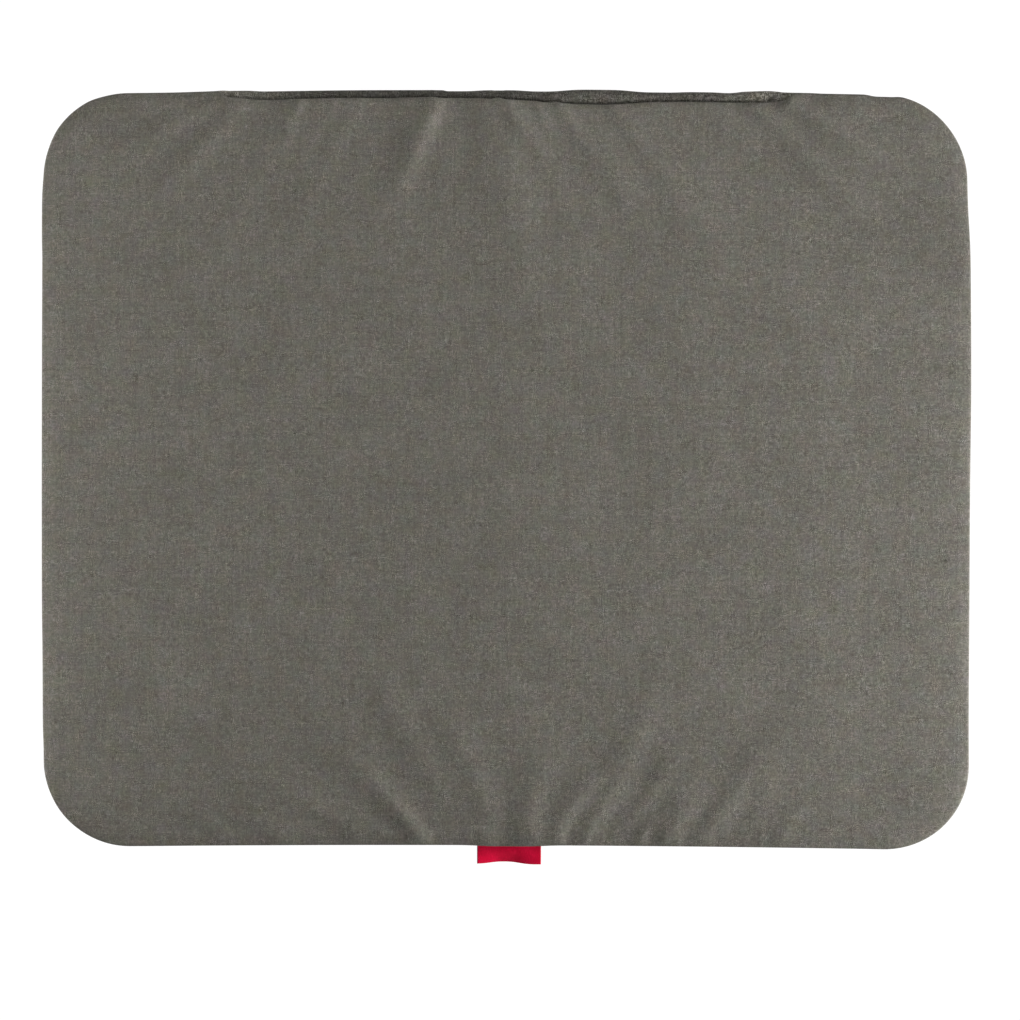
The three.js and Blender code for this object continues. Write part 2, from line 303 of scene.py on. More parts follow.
# uneven places in the outline, in mm: place along the edge, half width, how far out
edgeBumps = {
    "back": [(-203, 38, -0.7), (-146, 10, 0.5), (-3, 14, 0.6), (50, 20, 1.2), (106, 12, 0.4),
             (137.5, 12, 1.1), (161, 9, 0.25), (205.5, 8, -1.05)],
    "front": [(2.5, 20, 0.6)],
    "left": [(135, 16, 0.3), (168, 13, -0.55), (-125, 40, -0.3), (-165, 20, -0.5)],
    "right": [(170, 40, -1.3), (-70, 95, -0.9)],
}
coverLow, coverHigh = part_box("bottom_panel")
halfWidth = coverHigh.x - cover["sideSwell"]
backEdge = coverHigh.y - cover["backSwell"]
frontEdge = coverLow.y
midDepth = (backEdge + frontEdge) / 2
halfDepth = (backEdge - frontEdge) / 2


def smooth(value):
    value = np.clip(value, 0, 1)
    return value * value * (3 - 2 * value)


def bowed(half, place):
    return np.clip(1 - (place / half) ** 2, 0, 1)


def bumps(edge, place):
    out = np.zeros_like(place)
    for middle, wide, size in edgeBumps[edge]:
        out += size * mm * np.exp(-((place / mm - middle) / wide) ** 4)
    return out


def swell(x, y):
    # moves a point of the plain outline to where the sewn one has it
    along = bowed(halfDepth - cover["cornerRadius"], y - midDepth)
    across = bowed(halfWidth - cover["cornerRadius"], x)
    reach = cover["swellReach"]
    atSide = smooth((np.abs(x) - halfWidth + reach) / reach)
    atBack = smooth((y - backEdge + reach) / reach)
    atFront = smooth((frontEdge + reach - y) / reach)
    sideways = cover["sideSwell"] * along * np.where(x < 0, *cover["sideShares"])
    backPull = np.where(x < 0, *cover["backPull"]) * atBack * atSide
    frontPull = np.where(x < 0, *cover["frontPull"]) * atFront * atSide
    newX = x + np.sign(x) * (sideways * atSide + backPull + frontPull) - cover["skew"] * y
    newX += np.where(x < 0, -bumps("left", y), bumps("right", y)) * atSide
    newY = y + across * (cover["backSwell"] * atBack + cover["frontDraw"] * atFront) + backPull - frontPull
    newY += bumps("back", x) * smooth((y - backEdge + 6 * mm) / (5 * mm))
    newY -= bumps("front", x) * smooth((frontEdge + 14 * mm - y) / (14 * mm))
    return newX, newY


def edgeInset(x, y):
    # how far a point lies inside the plain outline
    radius = cover["cornerRadius"]
    besideX = np.abs(x) - halfWidth + radius
    besideY = np.abs(y - midDepth) - halfDepth + radius
    outside = np.hypot(np.maximum(besideX, 0), np.maximum(besideY, 0))
    return radius - outside - np.minimum(np.maximum(besideX, besideY), 0)


def crownDrop(x, y, inset):
    # none over the slit, where the closure holds the cloth flat
    broad = np.clip(1 - inset / cover["crownReach"], 0, 1)
    tight = np.clip(1 - inset / cover["shoulderReach"], 0, 1)
    atSlit = hemShare(x) * smooth((y - backEdge + slit["flatReach"]) / slit["flatRun"])
    return (cover["crownDrop"] * broad ** 2 + cover["shoulderDrop"] * tight ** 1.5) * (1 - atSlit)


def seamWobble(x, y):
    swing = np.sin(x / (21 * mm) + 0.4) * np.cos(y / (34 * mm)) + 0.6 * np.sin((x + y) / (11 * mm))
    return cover["seamWobble"] * swing / 1.6


def edgeSpaced(half, fine, coarse, reach):
    # marks from -1 to 1 that lie closer together near both ends
    marks = [0.0]
    while marks[-1] < half:
        marks.append(marks[-1] + fine + (coarse - fine) * min(1, marks[-1] / reach) ** 2)
    inner = 1 - np.array(marks) / marks[-1]
    return np.concatenate([-inner, inner[::-1][1:]])


def roundedGrid(columns, rows, inset):
    # a square grid stretched over the rounded outline, with the outward direction at its rim
    u, v = np.meshgrid(columns, rows, indexing="ij")
    reach = np.maximum(np.maximum(np.abs(u), np.abs(v)), 1e-9)
    a = (halfWidth - inset) * reach
    b = (halfDepth - inset) * reach
    radius = (cover["cornerRadius"] - inset) * reach ** 3
    onSide = np.abs(u) >= np.abs(v)
    share = np.where(onSide, np.abs(v), np.abs(u)) / reach
    straight = np.where(onSide, b, a) - radius
    run = share * (straight + radius * math.pi / 4)
    turn = np.maximum(run - straight, 0) / radius
    along = np.where(run < straight, run, straight + radius * np.sin(turn))
    outward = np.where(onSide, a, b) - radius + radius * np.cos(turn)
    x = np.where(onSide, outward, along) * np.sign(u)
    y = np.where(onSide, along, outward) * np.sign(v) + midDepth
    facingX = np.where(onSide, np.cos(turn), np.sin(turn)) * np.sign(u)
    facingY = np.where(onSide, np.sin(turn), np.cos(turn)) * np.sign(v)
    return x, y, facingX, facingY


def rimWalk(columns, rows):
    # grid points round the rim, anticlockwise
    lastColumn, lastRow = columns - 1, rows - 1
    walk = [(i, 0) for i in range(lastColumn)]
    walk += [(lastColumn, j) for j in range(lastRow)]
    walk += [(i, lastRow) for i in range(lastColumn, 0, -1)]
    walk += [(0, j) for j in range(lastRow, 0, -1)]
    return np.array([i * rows + j for i, j in walk])


def gridAndRim(columns, rows, inset):
    # the grid, its rim points, and where these lie and face
    grids = roundedGrid(columns, rows, inset)
    rim = rimWalk(len(columns), len(rows))
    return grids[0], grids[1], rim, [grid.ravel()[rim] for grid in grids]


def listed(*columns):
    # one row for each point
    return np.stack([np.ravel(column) for column in columns], axis=-1)


def ringFaces(rim, start, rings, *last):
    # bands from the rim over the rings outside it, and on to a last ring if there is one
    loops = [rim] + [start + ring * len(rim) + np.arange(len(rim)) for ring in range(rings)] + list(last)
    return [listed(before, after, np.roll(after, -1), np.roll(before, -1))
            for before, after in zip(loops, loops[1:])]


def gridFaces(columns, rows, start=0):
    i, j = np.meshgrid(np.arange(columns - 1), np.arange(rows - 1), indexing="ij")
    first = start + i * rows + j
    return listed(first, first + rows, first + rows + 1, first + 1)


def makePiece(name, points, faces, finish, flat=None):
    mesh = bpy.data.meshes.new(name)
    mesh.from_pydata(points.tolist(), [], faces.tolist() if hasattr(faces, "tolist") else faces)
    if flat is not None:
        layer = mesh.uv_layers.new(name="weave")
        corner = np.zeros(len(mesh.loops), np.int32)
        mesh.loops.foreach_get("vertex_index", corner)
        layer.data.foreach_set("uv", flat[corner].astype(np.float32).ravel())
    mesh.materials.append(finish)
    mesh.shade_smooth()
    return addObject(name, mesh)


def thicken(piece, thickness):
    # gives a cloth surface its thickness, inwards
    shell = piece.modifiers.new("thickness", "SOLIDIFY")
    shell.thickness = thickness
    shell.offset = -1
    bpy.context.view_layer.update()
    done = piece.evaluated_get(bpy.context.evaluated_depsgraph_get())
    piece.data = bpy.data.meshes.new_from_object(done)
    piece.modifiers.clear()
    return piece


def stripPiece(name, points, flats, finish, thickness):
    # a strip of cloth from its rows of points, which run along it
    faces = gridFaces(len(points[0]), len(points))[:, ::-1]
    grid, flat = (np.concatenate(np.stack(rows, axis=1)) for rows in (points, flats))
    return thicken(makePiece(name, grid, faces, finish, flat), thickness)


# cloth finishes
clothFinish = {
    "pitch": 0.58 * mm,  # of the threads
    "slub": 2.5 * mm,  # length of a light or dark stretch of thread
    "band": (1.15 * mm, 32 * mm),  # width and length of a run of like threads
    "streak": (5 * mm, 46 * mm),
    "patchSize": 6 * mm,  # the threads stand out more in some places than in others
    "cloudSize": 34 * mm,
    "hueSize": 10 * mm,
    "sparkle": (-80 * mm, 280 * mm, 0.94, 1.16),  # painted glint: the threads stand out more towards the right front
    "threadWeight": 1.29,
    "bandWeights": (0.22, 0.2),
    "streakWeight": 0.09,
    "cloudWeight": 0.2,
    "glintSpan": (0.66, 0.76),  # the lightest stretches of thread glint
    "glintShare": 0.15,
    "glintMetal": 0.3,
    "roughness": (0.85, 0.65),
    "specular": 0.2,
    "sheen": 0.05,
    "crown": 0.08 * mm,  # rise of a thread
    "dark": tint(60, 57.4, 50.4),
    "middle": tint(100.4, 97.4, 90.4),
    "light": tint(142.5, 139, 131.5),
    "glint": tint(197, 189, 170),
    # tints that the cloth wavers between, in pairs
    "greenToRed": [(0.951, 1.026, 0.952, 1), (1.048, 0.975, 1.045, 1)],
    "brownToBlue": [(1.027, 1.0, 0.918, 1), (0.973, 1.0, 1.056, 1)],
}
# painted light and shade, and the facing's darker tone: multipliers on the cloth's colour by the place along the
# width, along the depth and halfway between these, in mm
shadeHalf = 260 * mm  # they are given between minus and plus this
coverPaintedLightAndShade = [
    # painted light on the left rim, painted shade towards the right rim
    [(-252.8, 1.17), (-250.6, 1.24), (-248.6, 1.22), (-247, 1.15), (-244.5, 1.06), (-230, 1.02),
     (-190, 1.0), (205, 1.0), (228, 0.96), (246, 0.94), (254, 0.9)],
    # painted shade along the front edge
    [(-204, 0.905), (-198, 0.925), (-190, 0.945), (-178, 0.965), (-150, 0.98), (-120, 1.0)],
    # painted shade in the back right corner
    [(142, 1.0), (160, 0.97), (172, 0.92), (187, 0.9), (200, 0.93), (215, 0.97)],
]
# the facing: a darker cloth in the middle, with painted light towards both ends and over the right half
facingToneAndPaintedLight = [
    [(-148, 1.33), (-134, 1.06), (-116, 0.7), (-103, 0.53), (-40, 0.51), (0, 0.56), (55, 0.66),
     (118, 0.68), (126, 0.93), (134, 1.22), (150, 1.38)],
]


def clothMaterial(name, paintedLightAndTone, contrast):
    look = clothFinish
    finish = Finish(name)
    x, y = finish.place()
    across = x / look["pitch"]
    along = y / look["pitch"]
    column, row = across.floor(), along.floor()
    # each thread carries its own light and dark stretches
    warp = finish.noise(finish.join(column * 7.31, y / look["slub"]))
    weft = finish.noise(finish.join(x / look["slub"], row * 5.17))
    over = ((column + row) / 2).fraction() * 2
    thread = weft + (warp - weft) * over
    narrow, long = look["band"]
    upright = finish.noise(finish.join(x / narrow, y / long))
    level = finish.noise(finish.join(x / long, y / narrow, 3.0))
    narrow, long = look["streak"]
    streaks = finish.noise(finish.join(x / narrow, y / long, 9.0))
    cloud = finish.noise(finish.join(x, y), 1 / look["cloudSize"], 3.0)
    patches = finish.noise(finish.join(x, y, 5.0), 1 / look["patchSize"])
    livelyAndPaintedGlint = finish.span(patches, 0.3, 0.7, 0.6 * contrast, 1.4 * contrast)
    # painted glint: the threads' contrast grows towards the right front, on top of the random patches
    livelyAndPaintedGlint *= finish.span(x - y * 0.5, *look["sparkle"], smooth=True)
    uprightWeight, levelWeight = look["bandWeights"]
    tone = 0.5 + (thread - 0.5) * livelyAndPaintedGlint * look["threadWeight"]
    tone += (upright - 0.5) * uprightWeight + (level - 0.5) * levelWeight
    tone += (streaks - 0.5) * look["streakWeight"] + (cloud - 0.5) * look["cloudWeight"]
    colour = finish.ramp(tone, (0.05, look["dark"]), (0.5, look["middle"]), (0.95, look["light"]))
    glint = finish.span(thread, *look["glintSpan"])
    colour = finish.mix(glint * look["glintShare"], colour, look["glint"])
    for layer, pair in ((7.0, "greenToRed"), (11.0, "brownToBlue")):
        hue = finish.noise(finish.join(x, y, layer), 1 / look["hueSize"], 4.0, 0.7)
        hueTint = finish.ramp(hue, (0.3, look[pair][0]), (0.7, look[pair][1]))
        colour = finish.mix(1.0, colour, hueTint, "MULTIPLY")
    # painted light and shade multiplied into the colour, one ramp for each direction
    for way, steps in zip((x, y, (x + y) / 2), paintedLightAndTone):
        stops = [(0.5 + place * mm / shadeHalf / 2, (toneAndPaintedShade, toneAndPaintedShade, toneAndPaintedShade, 1)) for place, toneAndPaintedShade in steps]
        toneAndPaintedShade = finish.ramp(finish.span(way, -shadeHalf, shadeHalf), *stops)
        colour = finish.mix(1.0, colour, toneAndPaintedShade, "MULTIPLY")
    # crowns of the threads, as height
    crownX = 1 - (across.fraction() - 0.5).size() * 2
    crownY = 1 - (along.fraction() - 0.5).size() * 2
    height = crownX * over + crownY * (1 - over)
    roughness = finish.span(tone, 0.2, 0.9, *look["roughness"])
    return finish.surface(colour, roughness, look["specular"], (height, look["crown"], 0.5),
                          glint * look["glintMetal"], look["sheen"])


coverCloth = clothMaterial("coverCloth", coverPaintedLightAndShade, 1.0)
facingCloth = clothMaterial("facingCloth", facingToneAndPaintedLight, 2.6)

# gathers, in mm: place at the edge and at the tip, bow of the line between, from and to this far in,
# half width on the left and on the right, rise
gathers = {
    "front": [
        (-43, -93, 1.1, 0, 60, 10.5, 5.9, 2.05),
        (-15, -92, -5.4, 65, 140, 8.8, 9.0, 1.10),
        (-3, -35, -1.2, 25, 87, 10.5, 9.0, 1.25),
        (14, 27, -7.0, 0, 59, 10.5, 7.2, 1.59),
        (24, 75, -7.0, 0, 64, 8.8, 5.8, 1.42),
        (38, 80, 7.0, 0, 102, 8.5, 6.6, 1.09),
        (67, 87, -0.1, 0, 25, 2.9, 3.6, 0.54),
        (85, 101, 3.3, 0, 47, 10.5, 8.2, 1.41),
        (101, 145, 4.3, 0, 70, 8.6, 8.2, 1.16),
        (145, 172, -3.1, 0, 37, 8.0, 6.0, 0.66),
        (-71, -148, -1.5, 0, 51, 10.5, 8.4, 0.79),
        (-8, -12, -1.4, 0, 13, 4.4, 2.6, 0.86),
        (-148, -203, 7.0, 0, 31, 9.4, 9.0, 0.58),
        (53, 94, 7.0, 36, 66, 5.1, 6.4, 0.94),
        (-120, -154, 3.6, 0, 25, 10.5, 8.7, 0.47),
        (128, 143, 7.0, 0, 85, 5.3, 9.0, 0.38),
        (-52, -89, -5.9, 0, 25, 10.5, 9.0, 1.03),
        (-38, -50, 0, 0, 17, 2.2, 1.8, 0.45),
        (26.5, 34, 0, 0, 13, 2.0, 1.7, 0.45),
        (41.3, 48, 0, 0, 13, 2.0, 1.7, 0.45),
        (71, 80, 0, 0, 15, 2.2, 1.8, 0.45),
        (84, 88, 0, 0, 10, 1.9, 1.7, 0.3),
        (91, 95, 0, 0, 10, 1.9, 1.7, 0.3),
        (121, 126, 0, 0, 10, 1.9, 1.7, 0.3),
    ],
    "back": [
        (-36, -75, 3.2, 0, 78, 8.6, 5.1, 1.80),
        (-106, -119, -4.8, 0, 42, 3.6, 2.6, 0.49),
        (-87, -110, -6.8, 0, 52, 9.4, 4.4, 0.52),
        (-76, -124, -4.8, 0, 106, 7.7, 5.2, 0.50),
        (-141, -221, 6.5, 0, 82, 9.3, 7.4, 1.19),
        (-149, -242, 4.7, 0, 47, 10.5, 9.0, 0.71),
        (-13, -7, 2.3, 0, 102, 10.5, 9.0, 1.06),
        (-10, 28, 6.2, 0, 58, 5.9, 5.7, 1.19),
        (12, 23, 1.4, 0, 27, 3.4, 2.3, 0.66),
        (20, 57, 4.5, 0, 58, 6.2, 5.1, 1.18),
        (3, 20, -3.6, 26, 150, 10.5, 8.0, 0.97),
        (48, 111, 7.0, 19, 96, 6.1, 7.3, 0.69),
        (40, 76, 1.7, 63, 90, 6.0, 7.1, 1.19),
        (124, 213, 7.0, 0, 99, 7.2, 9.0, 0.87),
        (143, 217, 4.1, 0, 48, 10.5, 8.7, 1.99),
        (-55, -70, 7.0, 0, 57, 7.8, 9.0, 0.72),
        (-110, -184, 0.2, 7, 131, 10.5, 5.7, 0.45),
        (103, 140, 0.9, 0, 45, 5.8, 7.2, 0.23),
        (-178, -194, 6.8, 0, 37, 9.1, 5.6, 0.30),
        (178, 184, 0.0, 8, 60, 30.0, 28.0, 1.00),
        (-31.5, -41, 0, 0, 20, 2.2, 1.8, 0.4),
        (17, 28, 0, 0, 24, 2.2, 1.8, 0.35),
        (-85, -91, 0, 0, 16, 2.1, 1.8, 0.35),
    ],
}
# short gathers all along the seam, and dents in the underside, in mm
puckers = {"count": 22, "half": 190, "stray": 6, "lean": 0.32,
           "reach": (8, 17), "width": (1.8, 3.2), "rise": (0.1, 0.35), "seed": 5}
dents = {"count": 27, "half": 195, "stray": 5,
         "reach": (14, 34), "width": (2.4, 4.5), "rise": (0.15, 0.5), "seed": 6}
waves = {
    "rise": 0.22 * mm,
    "lengths": (71 * mm, 93 * mm, 127 * mm),
    "leftRise": 0.7 * mm,  # the left half lies fuller, and falls off over this stretch
    "leftEnd": (-4 * mm, 62 * mm),
}


def smallPuckers():
    draw = np.random.default_rng(puckers["seed"])
    count, half, stray = puckers["count"], puckers["half"], puckers["stray"]
    for edge in ("front", "back"):
        places = np.linspace(-half, half, count) + draw.uniform(-stray, stray, count)
        for place in places:
            reach = draw.uniform(*puckers["reach"])
            tip = place + puckers["lean"] * place / half * reach
            width = draw.uniform(*puckers["width"])
            yield edge, (place, tip, 0, 0, reach, width, width, draw.uniform(*puckers["rise"]))


allGathers = [(edge, gather) for edge in ("front", "back") for gather in gathers[edge]]
allGathers += list(smallPuckers())


def gatherRise(x, y):
    rise = np.zeros_like(x)
    for edge, gather in allGathers:
        start, tip, bow, begin, end, left, right, height = (value * mm for value in gather)
        inset = y - frontEdge if edge == "front" else backEdge - y
        share = np.clip(inset / end, 0, 1)
        away = x - start - (tip - start) * share - bow * 4 * share * (1 - share)
        spread = np.where(away > 0, right, left) * (0.85 + 0.6 * share)
        fade = (1 - share ** 2.5) ** 1.5
        if begin > 0:
            fade = fade * smooth(inset / begin)
        rise += height * fade * np.exp(-(away / spread) ** 2)
    return rise


def underDents(x, y):
    # the underside lies flat, with small dents where the seam draws it in
    rise = np.zeros_like(x)
    draw = np.random.default_rng(dents["seed"])
    for place in np.linspace(-dents["half"], dents["half"], dents["count"]):
        for edge in (-1, 1):
            middle = (place + draw.uniform(-dents["stray"], dents["stray"])) * mm
            reach = draw.uniform(*dents["reach"]) * mm
            inset = halfDepth - edge * (y - midDepth)
            share = np.clip(inset / reach, 0, 1)
            away = (x - middle * (1 + 0.1 * share)) / (draw.uniform(*dents["width"]) * mm)
            rise += draw.uniform(*dents["rise"]) * mm * (1 - share ** 2) * np.exp(-away ** 2)
    return rise


def waveRise(x, y):
    first, second, third = (2 * math.pi / length for length in waves["lengths"])
    swing = np.sin(first * x + 0.6 * np.sin(third * y)) + np.sin(second * y + 1.3 + 0.8 * np.sin(third * x))
    swing += np.sin(third * (x + 0.7 * y) + 2.1)
    first, last = waves["leftEnd"]
    return waves["rise"] * (swing + 3) / 6 + waves["leftRise"] * smooth((last - x) / (last - first))


# slit in the back edge: the hem line lies this far in from the outline, in mm
slit = {
    "half": 157 * mm,
    "run": 5.5 * mm,  # the hem grows out of the edge roll over this length at each end
    "line": [(-157, 3.4), (-146, 4.4), (-138, 5.1), (-130, 5.5), (-118, 5.2), (-108, 4.8),
             (-90, 4.5), (-60, 4.6), (-40, 4.2), (-36, 4.8), (-30, 4.4), (-14, 4.9), (-8, 5.2), (-4.5, 4.5),
             (-1, 5.4), (6, 5.5), (17, 6.1), (20, 6.7), (27, 6.4), (30, 7.1), (38, 7.4), (54, 7.7),
             (66, 6.9), (80, 5.9), (100, 5.6), (120, 5.7), (137, 5.9), (146, 5.2), (157, 4.0)],
    "foldRadius": 0.75 * mm,
    "hemFall": 0.4 * mm,  # the face falls this much over this run, just before the fold
    "fallRun": 2.6 * mm,
    "hemWidth": 20.5 * mm,
    "drawReach": 34 * mm,  # the lip's margin draws back to the hem line over this depth
    "flatReach": 62 * mm,  # the closure holds the cloth flat from here on, and fully after this run
    "flatRun": 30 * mm,
}


def hemInset(x):
    places, insets = np.array(slit["line"]).T * mm
    return np.interp(x, places, insets)


def hemShare(x):
    return smooth((slit["half"] - np.abs(x)) / slit["run"])


def rollPath(turn, top):
    # (inset, height) on the roll from the face, turn 1, down or up to the seam, turn 0
    power = 2 / cover["rollFullness"]
    angle = turn * math.pi / 2
    seam = seamLevel + math.copysign(cover["seamTurn"], top - seamLevel)
    inset = cover["edgeRoll"] * (1 - math.cos(angle) ** power)
    return inset, seam + (top - seam) * math.sin(angle) ** power


rollTurns = (0.9995, 0.995, 0.97, 0.9, 0.8, 0.7, 0.6, 0.5, 0.35, 0.2, 0.0)
# allowance, in mm: inset and distance from the seam
turnedIn = [(0.3, 0.28), (0.9, 0.09), (3.0, 0.06), (6.0, 0.06)]


def edgeRings(top):
    side = math.copysign(1, top - seamLevel)
    rings = [rollPath(turn, top) for turn in rollTurns]
    rings += [(inset * mm, seamLevel + side * away * mm) for inset, away in turnedIn]
    return rings


def hemRings(hem, top):
    # down towards the hem, over the fold and back under the lip, as many rings as the edge has
    radius = slit["foldRadius"]
    centre = hem + radius
    fall = slit["hemFall"]
    rings = []
    for run in (1.7 * mm, 0.8 * mm, 0.0):
        rings.append((centre + run, top - fall * (1 - run / slit["fallRun"]) ** 2))
    for step in range(1, 7):
        angle = step * math.pi / 6
        rings.append((centre - radius * math.sin(angle), top - fall - radius + radius * math.cos(angle)))
    under = top - fall - 2 * radius
    for run in np.linspace(0.15, 1, 6):
        rings.append((centre + run * (slit["hemWidth"] - radius), under))
    return rings


def lipDraw(x, y):
    reach = slit["drawReach"]
    share = hemShare(x) * smooth((y - backEdge + reach) / (reach - cover["edgeRoll"]))
    centre = hemInset(x) + slit["foldRadius"] + slit["fallRun"]
    return np.maximum(centre - cover["edgeRoll"], 0) * share


def coverShell(name, columns, rows, top, isTop):
    x, y, rim, (rimX, rimY, outX, outY) = gridAndRim(columns, rows, cover["edgeRoll"])
    edgeX, edgeY = rimX + outX * cover["edgeRoll"], rimY + outY * cover["edgeRoll"]
    flats = [listed(x, y)]
    if isTop:
        y = y - lipDraw(x, y)
        rise = gatherRise(x, y) + waveRise(x, y)
        drop = crownDrop(x, y, edgeInset(x, y))
        atSlit = hemShare(rimX) * (outY > 0.999)
    else:
        rise = underDents(x, y)
        drop = np.zeros_like(x)
        atSlit = np.zeros_like(rimX)
    points = [listed(x, y, top + rise - drop)]
    rimRise = rise.ravel()[rim]
    wobble = seamWobble(edgeX, edgeY)
    run = np.zeros_like(rimX)
    lastInset, lastHeight = np.full_like(rimX, cover["edgeRoll"]), np.full_like(rimX, top)
    hem = hemRings(hemInset(rimX), top)
    hemKept = [1.0] * 9 + [1 - float(smooth(share)) for share in (0.5, 0.9, 1, 1, 1, 1)]
    for ring, (inset, height) in enumerate(edgeRings(top)):
        hemIn, hemHeight = hem[ring]
        up = np.clip((height - seamLevel) / (top - seamLevel), 0, 1)
        kept = max(0, 1 - (ring + 1) / len(rollTurns))
        nowInset = inset + (hemIn - inset) * atSlit
        nowHeight = height + (hemHeight - height) * atSlit
        run = run + np.hypot(nowInset - lastInset, nowHeight - lastHeight)
        lastInset, lastHeight = nowInset, nowHeight
        lift = rimRise * (kept + (hemKept[ring] - kept) * atSlit) + wobble * (1 - up) * (1 - atSlit)
        if isTop:
            lift = lift - crownDrop(edgeX, edgeY, nowInset) * up
        points.append(listed(edgeX - outX * nowInset, edgeY - outY * nowInset, nowHeight + lift))
        flats.append(listed(rimX + outX * run, rimY + outY * run))
    faces = [gridFaces(len(columns), len(rows))] + ringFaces(rim, x.size, len(points) - 1)
    points, flats, faces = np.concatenate(points), np.concatenate(flats), np.concatenate(faces)
    points[:, 0], points[:, 1] = swell(points[:, 0], points[:, 1])
    if not isTop:
        faces = faces[:, ::-1]
    return thicken(makePiece(name, points, faces, coverCloth, flats), cover["cloth"])


lipBend = {
    "before": 6 * mm,  # the cloth bends over this much on each side of the fold line
    "after": 8 * mm,
    "free": 95 * mm,  # the lip turns fully this far out from the middle, and not at all at the slit's ends
    "held": 150 * mm,
}


def bendLip(piece):
    start = (0, foldLine[1] - lipBend["before"], foldLine[2])
    end = (0, foldLine[1] + lipBend["after"], foldLine[2])
    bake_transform(piece, "cover", "lip", start, end)
    weights = piece.data.attributes["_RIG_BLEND"]
    for vertex, weight in zip(piece.data.vertices, weights.data):
        outward = (lipBend["held"] - abs(vertex.co.x)) / (lipBend["held"] - lipBend["free"])
        weight.value *= float(smooth(outward))


def coverArea():
    # flat cut: the rounded outline, grown by the roll and the allowance
    grow = cover["edgeRoll"] * 0.6 + cover["allowance"]
    wide, deep = 2 * (halfWidth + grow), 2 * (halfDepth + grow)
    corner = cover["cornerRadius"] + grow
    return (wide, deep), wide * deep - (4 - math.pi) * corner ** 2


def makeCover():
    flat, area = coverArea()
    columns = np.linspace(-1, 1, 361)
    rows = edgeSpaced(halfDepth, 1.1 * mm, 4.0 * mm, 90 * mm)
    topPiece = coverShell("coverTop", columns, rows, faceLevel, True)
    bendLip(topPiece)
    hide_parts("top_panel", "opening_lip")
    lipped = flat[0] * slit["hemWidth"] * 0.6
    flat[1] + slit["hemWidth"]
    area + lipped
    columns = np.linspace(-1, 1, 121)
    rows = edgeSpaced(halfDepth, 2.2 * mm, 6.0 * mm, 90 * mm)
    bottomPiece = coverShell("coverBottom", columns, rows, 0.0, False)
    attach(bottomPiece, "cover")
    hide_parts("bottom_panel")
    print("cover made:", len(topPiece.data.polygons), "and", len(bottomPiece.data.polygons), "faces")


# facing: sewn to the seam, rolls over the back edge and tucks in under the lip
facing = {
    "width": 316 * mm,
    "crestOut": (1.4 * mm, 2.0 * mm),  # its crest lies this far outside the hem line, left and right
    "crestDrop": 1.3 * mm,  # and this far below the face
    "sway": 0.3 * mm,
    "pinch": (-4.3 * mm, 2.0 * mm, 1.1 * mm),  # place, half width, depth
    "step": (-33.5 * mm, 0.7 * mm),  # the outline steps out to the left of here
    "endLift": 0.9 * mm,  # it rises to the cover's face, and gets as square as that, over these lengths
    "endRuns": (7 * mm, 28 * mm),
    "endTuck": 0.1 * mm,
    "fullness": 2.3,
    "flapEnd": 25 * mm,
}


def facingPath(x):
    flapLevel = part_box("hook_tape")[0].z - 0.15 * mm
    half = facing["width"] / 2
    sway = facing["sway"] * (np.sin(x / (17 * mm)) + np.sin(x / (29 * mm) + 1.1)) / 2
    place, wide, deep = facing["pinch"]
    pinch = deep * np.exp(-((x - place) / wide) ** 2)
    stepPlace, stepSize = facing["step"]
    bulge = stepSize * smooth((stepPlace - x) / (3 * mm) + 0.5) * smooth((x + half) / (90 * mm))
    left, right = facing["endRuns"]
    ends = np.where(x < 0, smooth(1 - (x + half) / left), smooth(1 - (half - x) / right))
    crest = faceLevel - facing["crestDrop"] + np.minimum(sway, 0) - pinch * 0.5 + facing["endLift"] * ends
    hem = hemInset(x)
    near, far = facing["crestOut"]
    crestIn = np.maximum(hem - near - (far - near) * smooth(x / (60 * mm) + 0.5), 0.8 * mm)
    base = seamLevel + cover["seamTurn"]
    power = 2 / (facing["fullness"] + (cover["rollFullness"] - facing["fullness"]) * ends)
    path = [(inset * mm + 0 * x, seamLevel + away * mm + 0 * x) for inset, away in reversed(turnedIn)]
    for turn in np.linspace(0, 1, 13):
        angle = turn * math.pi / 2
        across, up = max(0, math.cos(angle)) ** power, math.sin(angle) ** power
        inset = crestIn * (1 - across) + (pinch - bulge) * math.sin(turn * math.pi) ** 0.6
        path.append((inset, base + (crest - base) * up))
    tucked = hem + 3.0 * mm
    for share in (0.12, 0.26, 0.42, 0.6, 0.8, 1.0):
        path.append((crestIn + (tucked - crestIn) * share, crest + (flapLevel - crest) * smooth(share)))
    for share in (0.3, 0.65, 1.0):
        path.append((tucked + (facing["flapEnd"] - tucked) * share, flapLevel + 0 * x))
    return path


def makeFacing():
    half = facing["width"] / 2
    x = np.linspace(-half, half, 313)
    share = hemShare(x)
    closed = 0.1 + 0.9 * smooth((half + 1 * mm - np.abs(x)) / (2 * mm))
    wobble = seamWobble(x, backEdge + 0 * x)
    points, flats = [], []
    run = np.zeros_like(x)
    last = None
    for inset, height in facingPath(x):
        inset = inset + facing["endTuck"] * (1 - share)
        height = seamLevel + (height - seamLevel) * closed
        up = np.clip((height - seamLevel) / (3 * mm), 0, 1)
        if last is not None:
            run = run + np.hypot(inset - last[0], height - last[1])
        last = (inset, height)
        newX, newY = swell(x, backEdge - inset)
        points.append(listed(newX, newY, height + wobble * (1 - up)))
        flats.append(listed(x, run))
    piece = stripPiece("openingFacing", points, flats, facingCloth, cover["cloth"])
    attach(piece, "cover")
    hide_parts("opening_facing")
    print("facing made:", len(piece.data.polygons), "faces")


